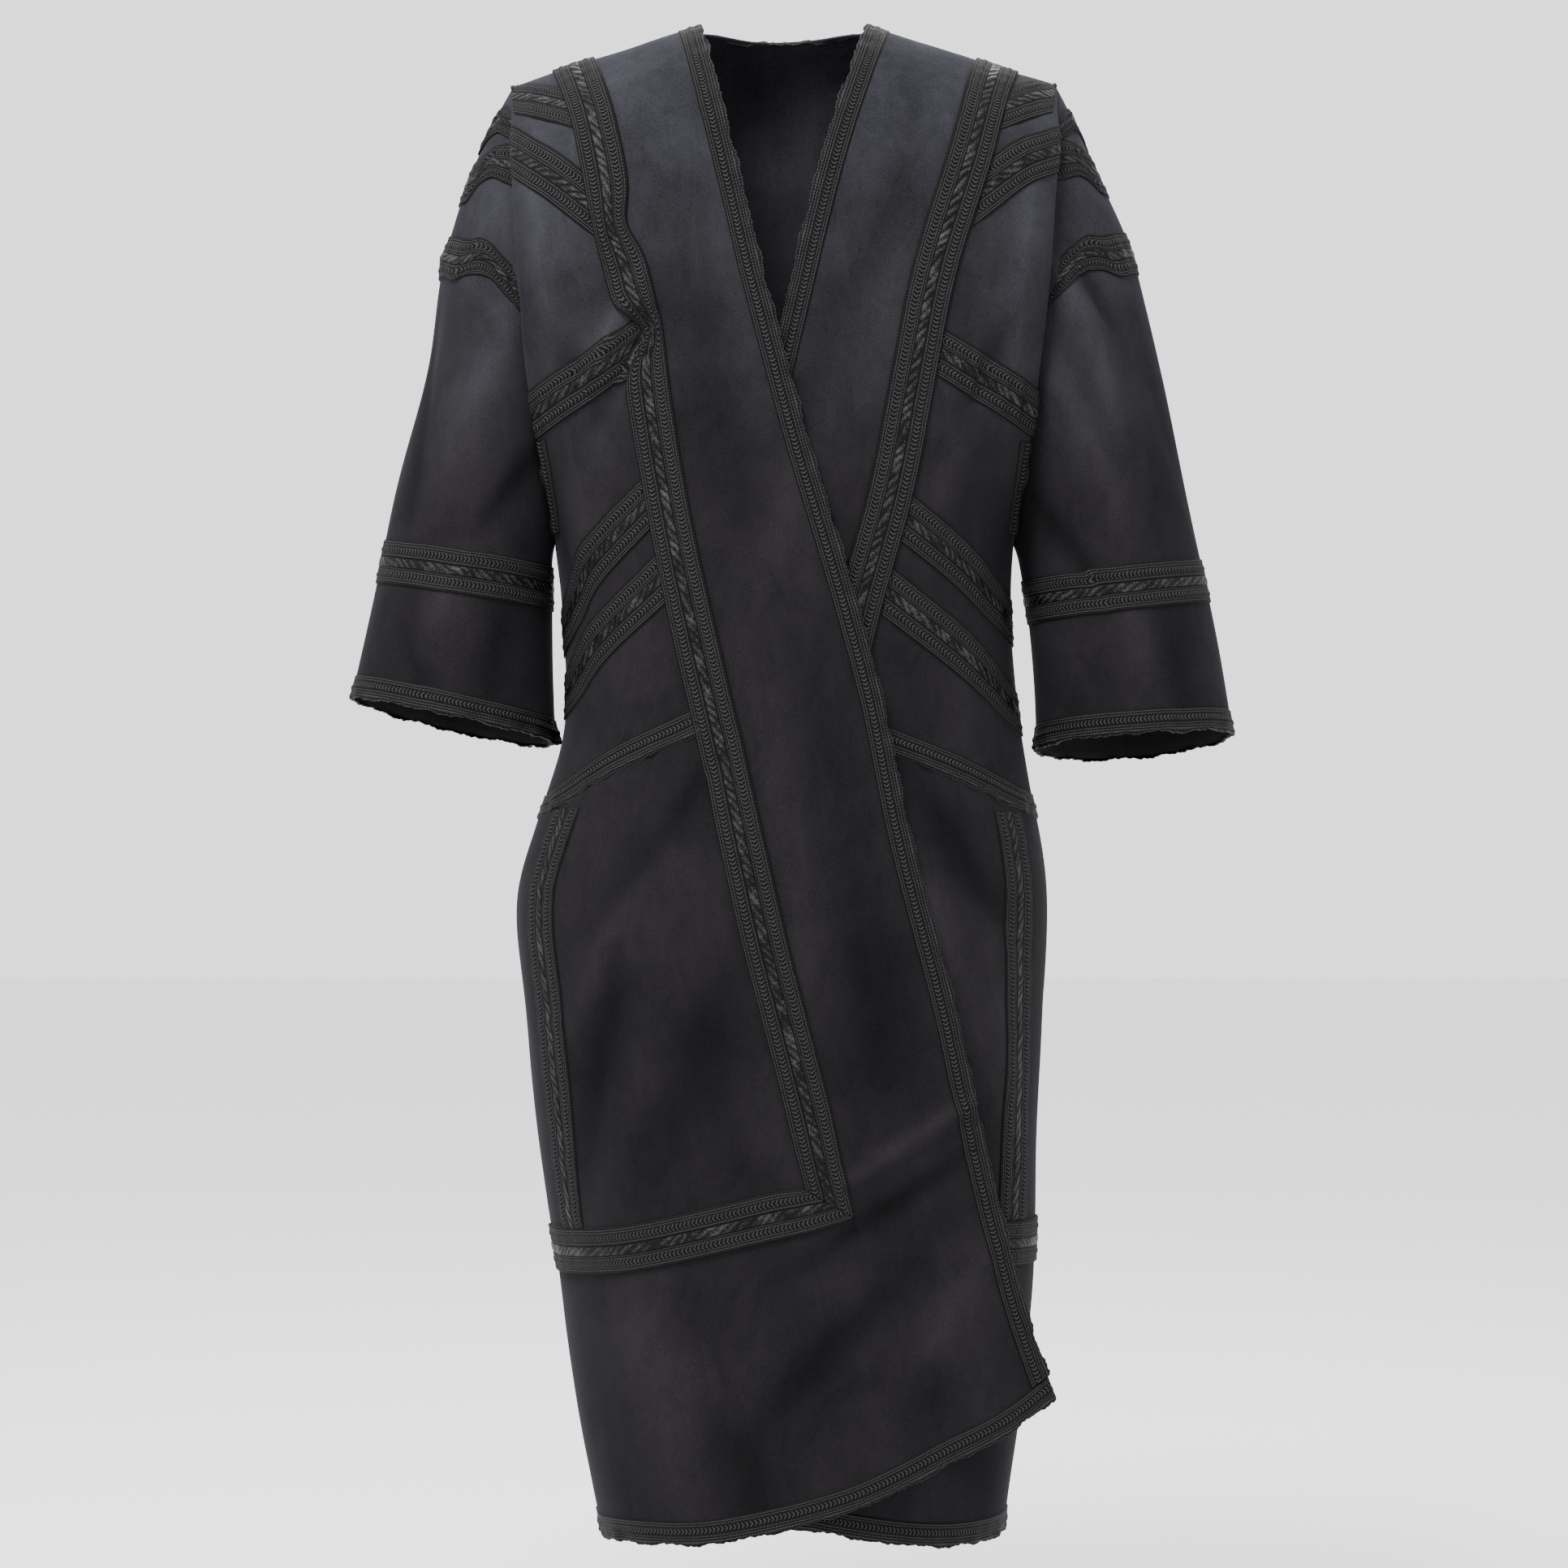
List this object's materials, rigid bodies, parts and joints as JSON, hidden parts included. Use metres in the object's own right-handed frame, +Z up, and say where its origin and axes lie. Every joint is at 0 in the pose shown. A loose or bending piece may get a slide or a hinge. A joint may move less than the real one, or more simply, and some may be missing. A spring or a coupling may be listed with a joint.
{
  "type": "wrap-front thobe robe, worn shape",
  "caption": "Long open-front robe with wide three-quarter sleeves and braid trim, one front lapped over the other, hollow as worn.",
  "frame": {"origin": "on the wearer's middle line, level with the neck points where the shoulder seams meet the neck", "axes": "+Z up, -Y is the front of the robe, -X is the wearer's right side"},
  "size_m": [0.7914, 0.3022, 1.341],
  "materials": {
    "suede": "brushed suede-like cloth, charcoal black, matte",
    "braid": "woven and plaited trimming braid, black, low sheen"
  },
  "bodies": {
    "root": {"front_right": "suede", "front_left": "suede", "back": "suede", "sleeve_right": "suede", "sleeve_left": "suede", "edge_braid_right": "braid", "edge_braid_left": "braid", "hem_braid_right": "braid", "hem_braid_left": "braid", "hem_braid_back": "braid", "neck_braid_back": "braid", "front_line_right": "braid", "front_band_right": "braid", "side_band_right": "braid", "shoulder_band_right": "braid", "yoke_band_right": "braid", "chest_band_right": "braid", "upper_waist_band_right": "braid", "lower_waist_band_right": "braid", "sleeve_shoulder_band_right": "braid", "sleeve_yoke_band_right": "braid", "sleeve_upper_ring_right": "braid", "lower_ring_right": "braid", "front_line_left": "braid", "front_band_left": "braid", "side_band_left": "braid", "shoulder_band_left": "braid", "yoke_band_left": "braid", "chest_band_left": "braid", "upper_waist_band_left": "braid", "lower_waist_band_left": "braid", "sleeve_shoulder_band_left": "braid", "sleeve_yoke_band_left": "braid", "sleeve_upper_ring_left": "braid", "lower_ring_left": "braid", "back_band": "braid", "pocket_band_right": "braid", "armhole_braid_right": "braid", "cuff_braid_right": "braid", "pocket_band_left": "braid", "armhole_braid_left": "braid", "cuff_braid_left": "braid"}
  },
  "joints": []
}
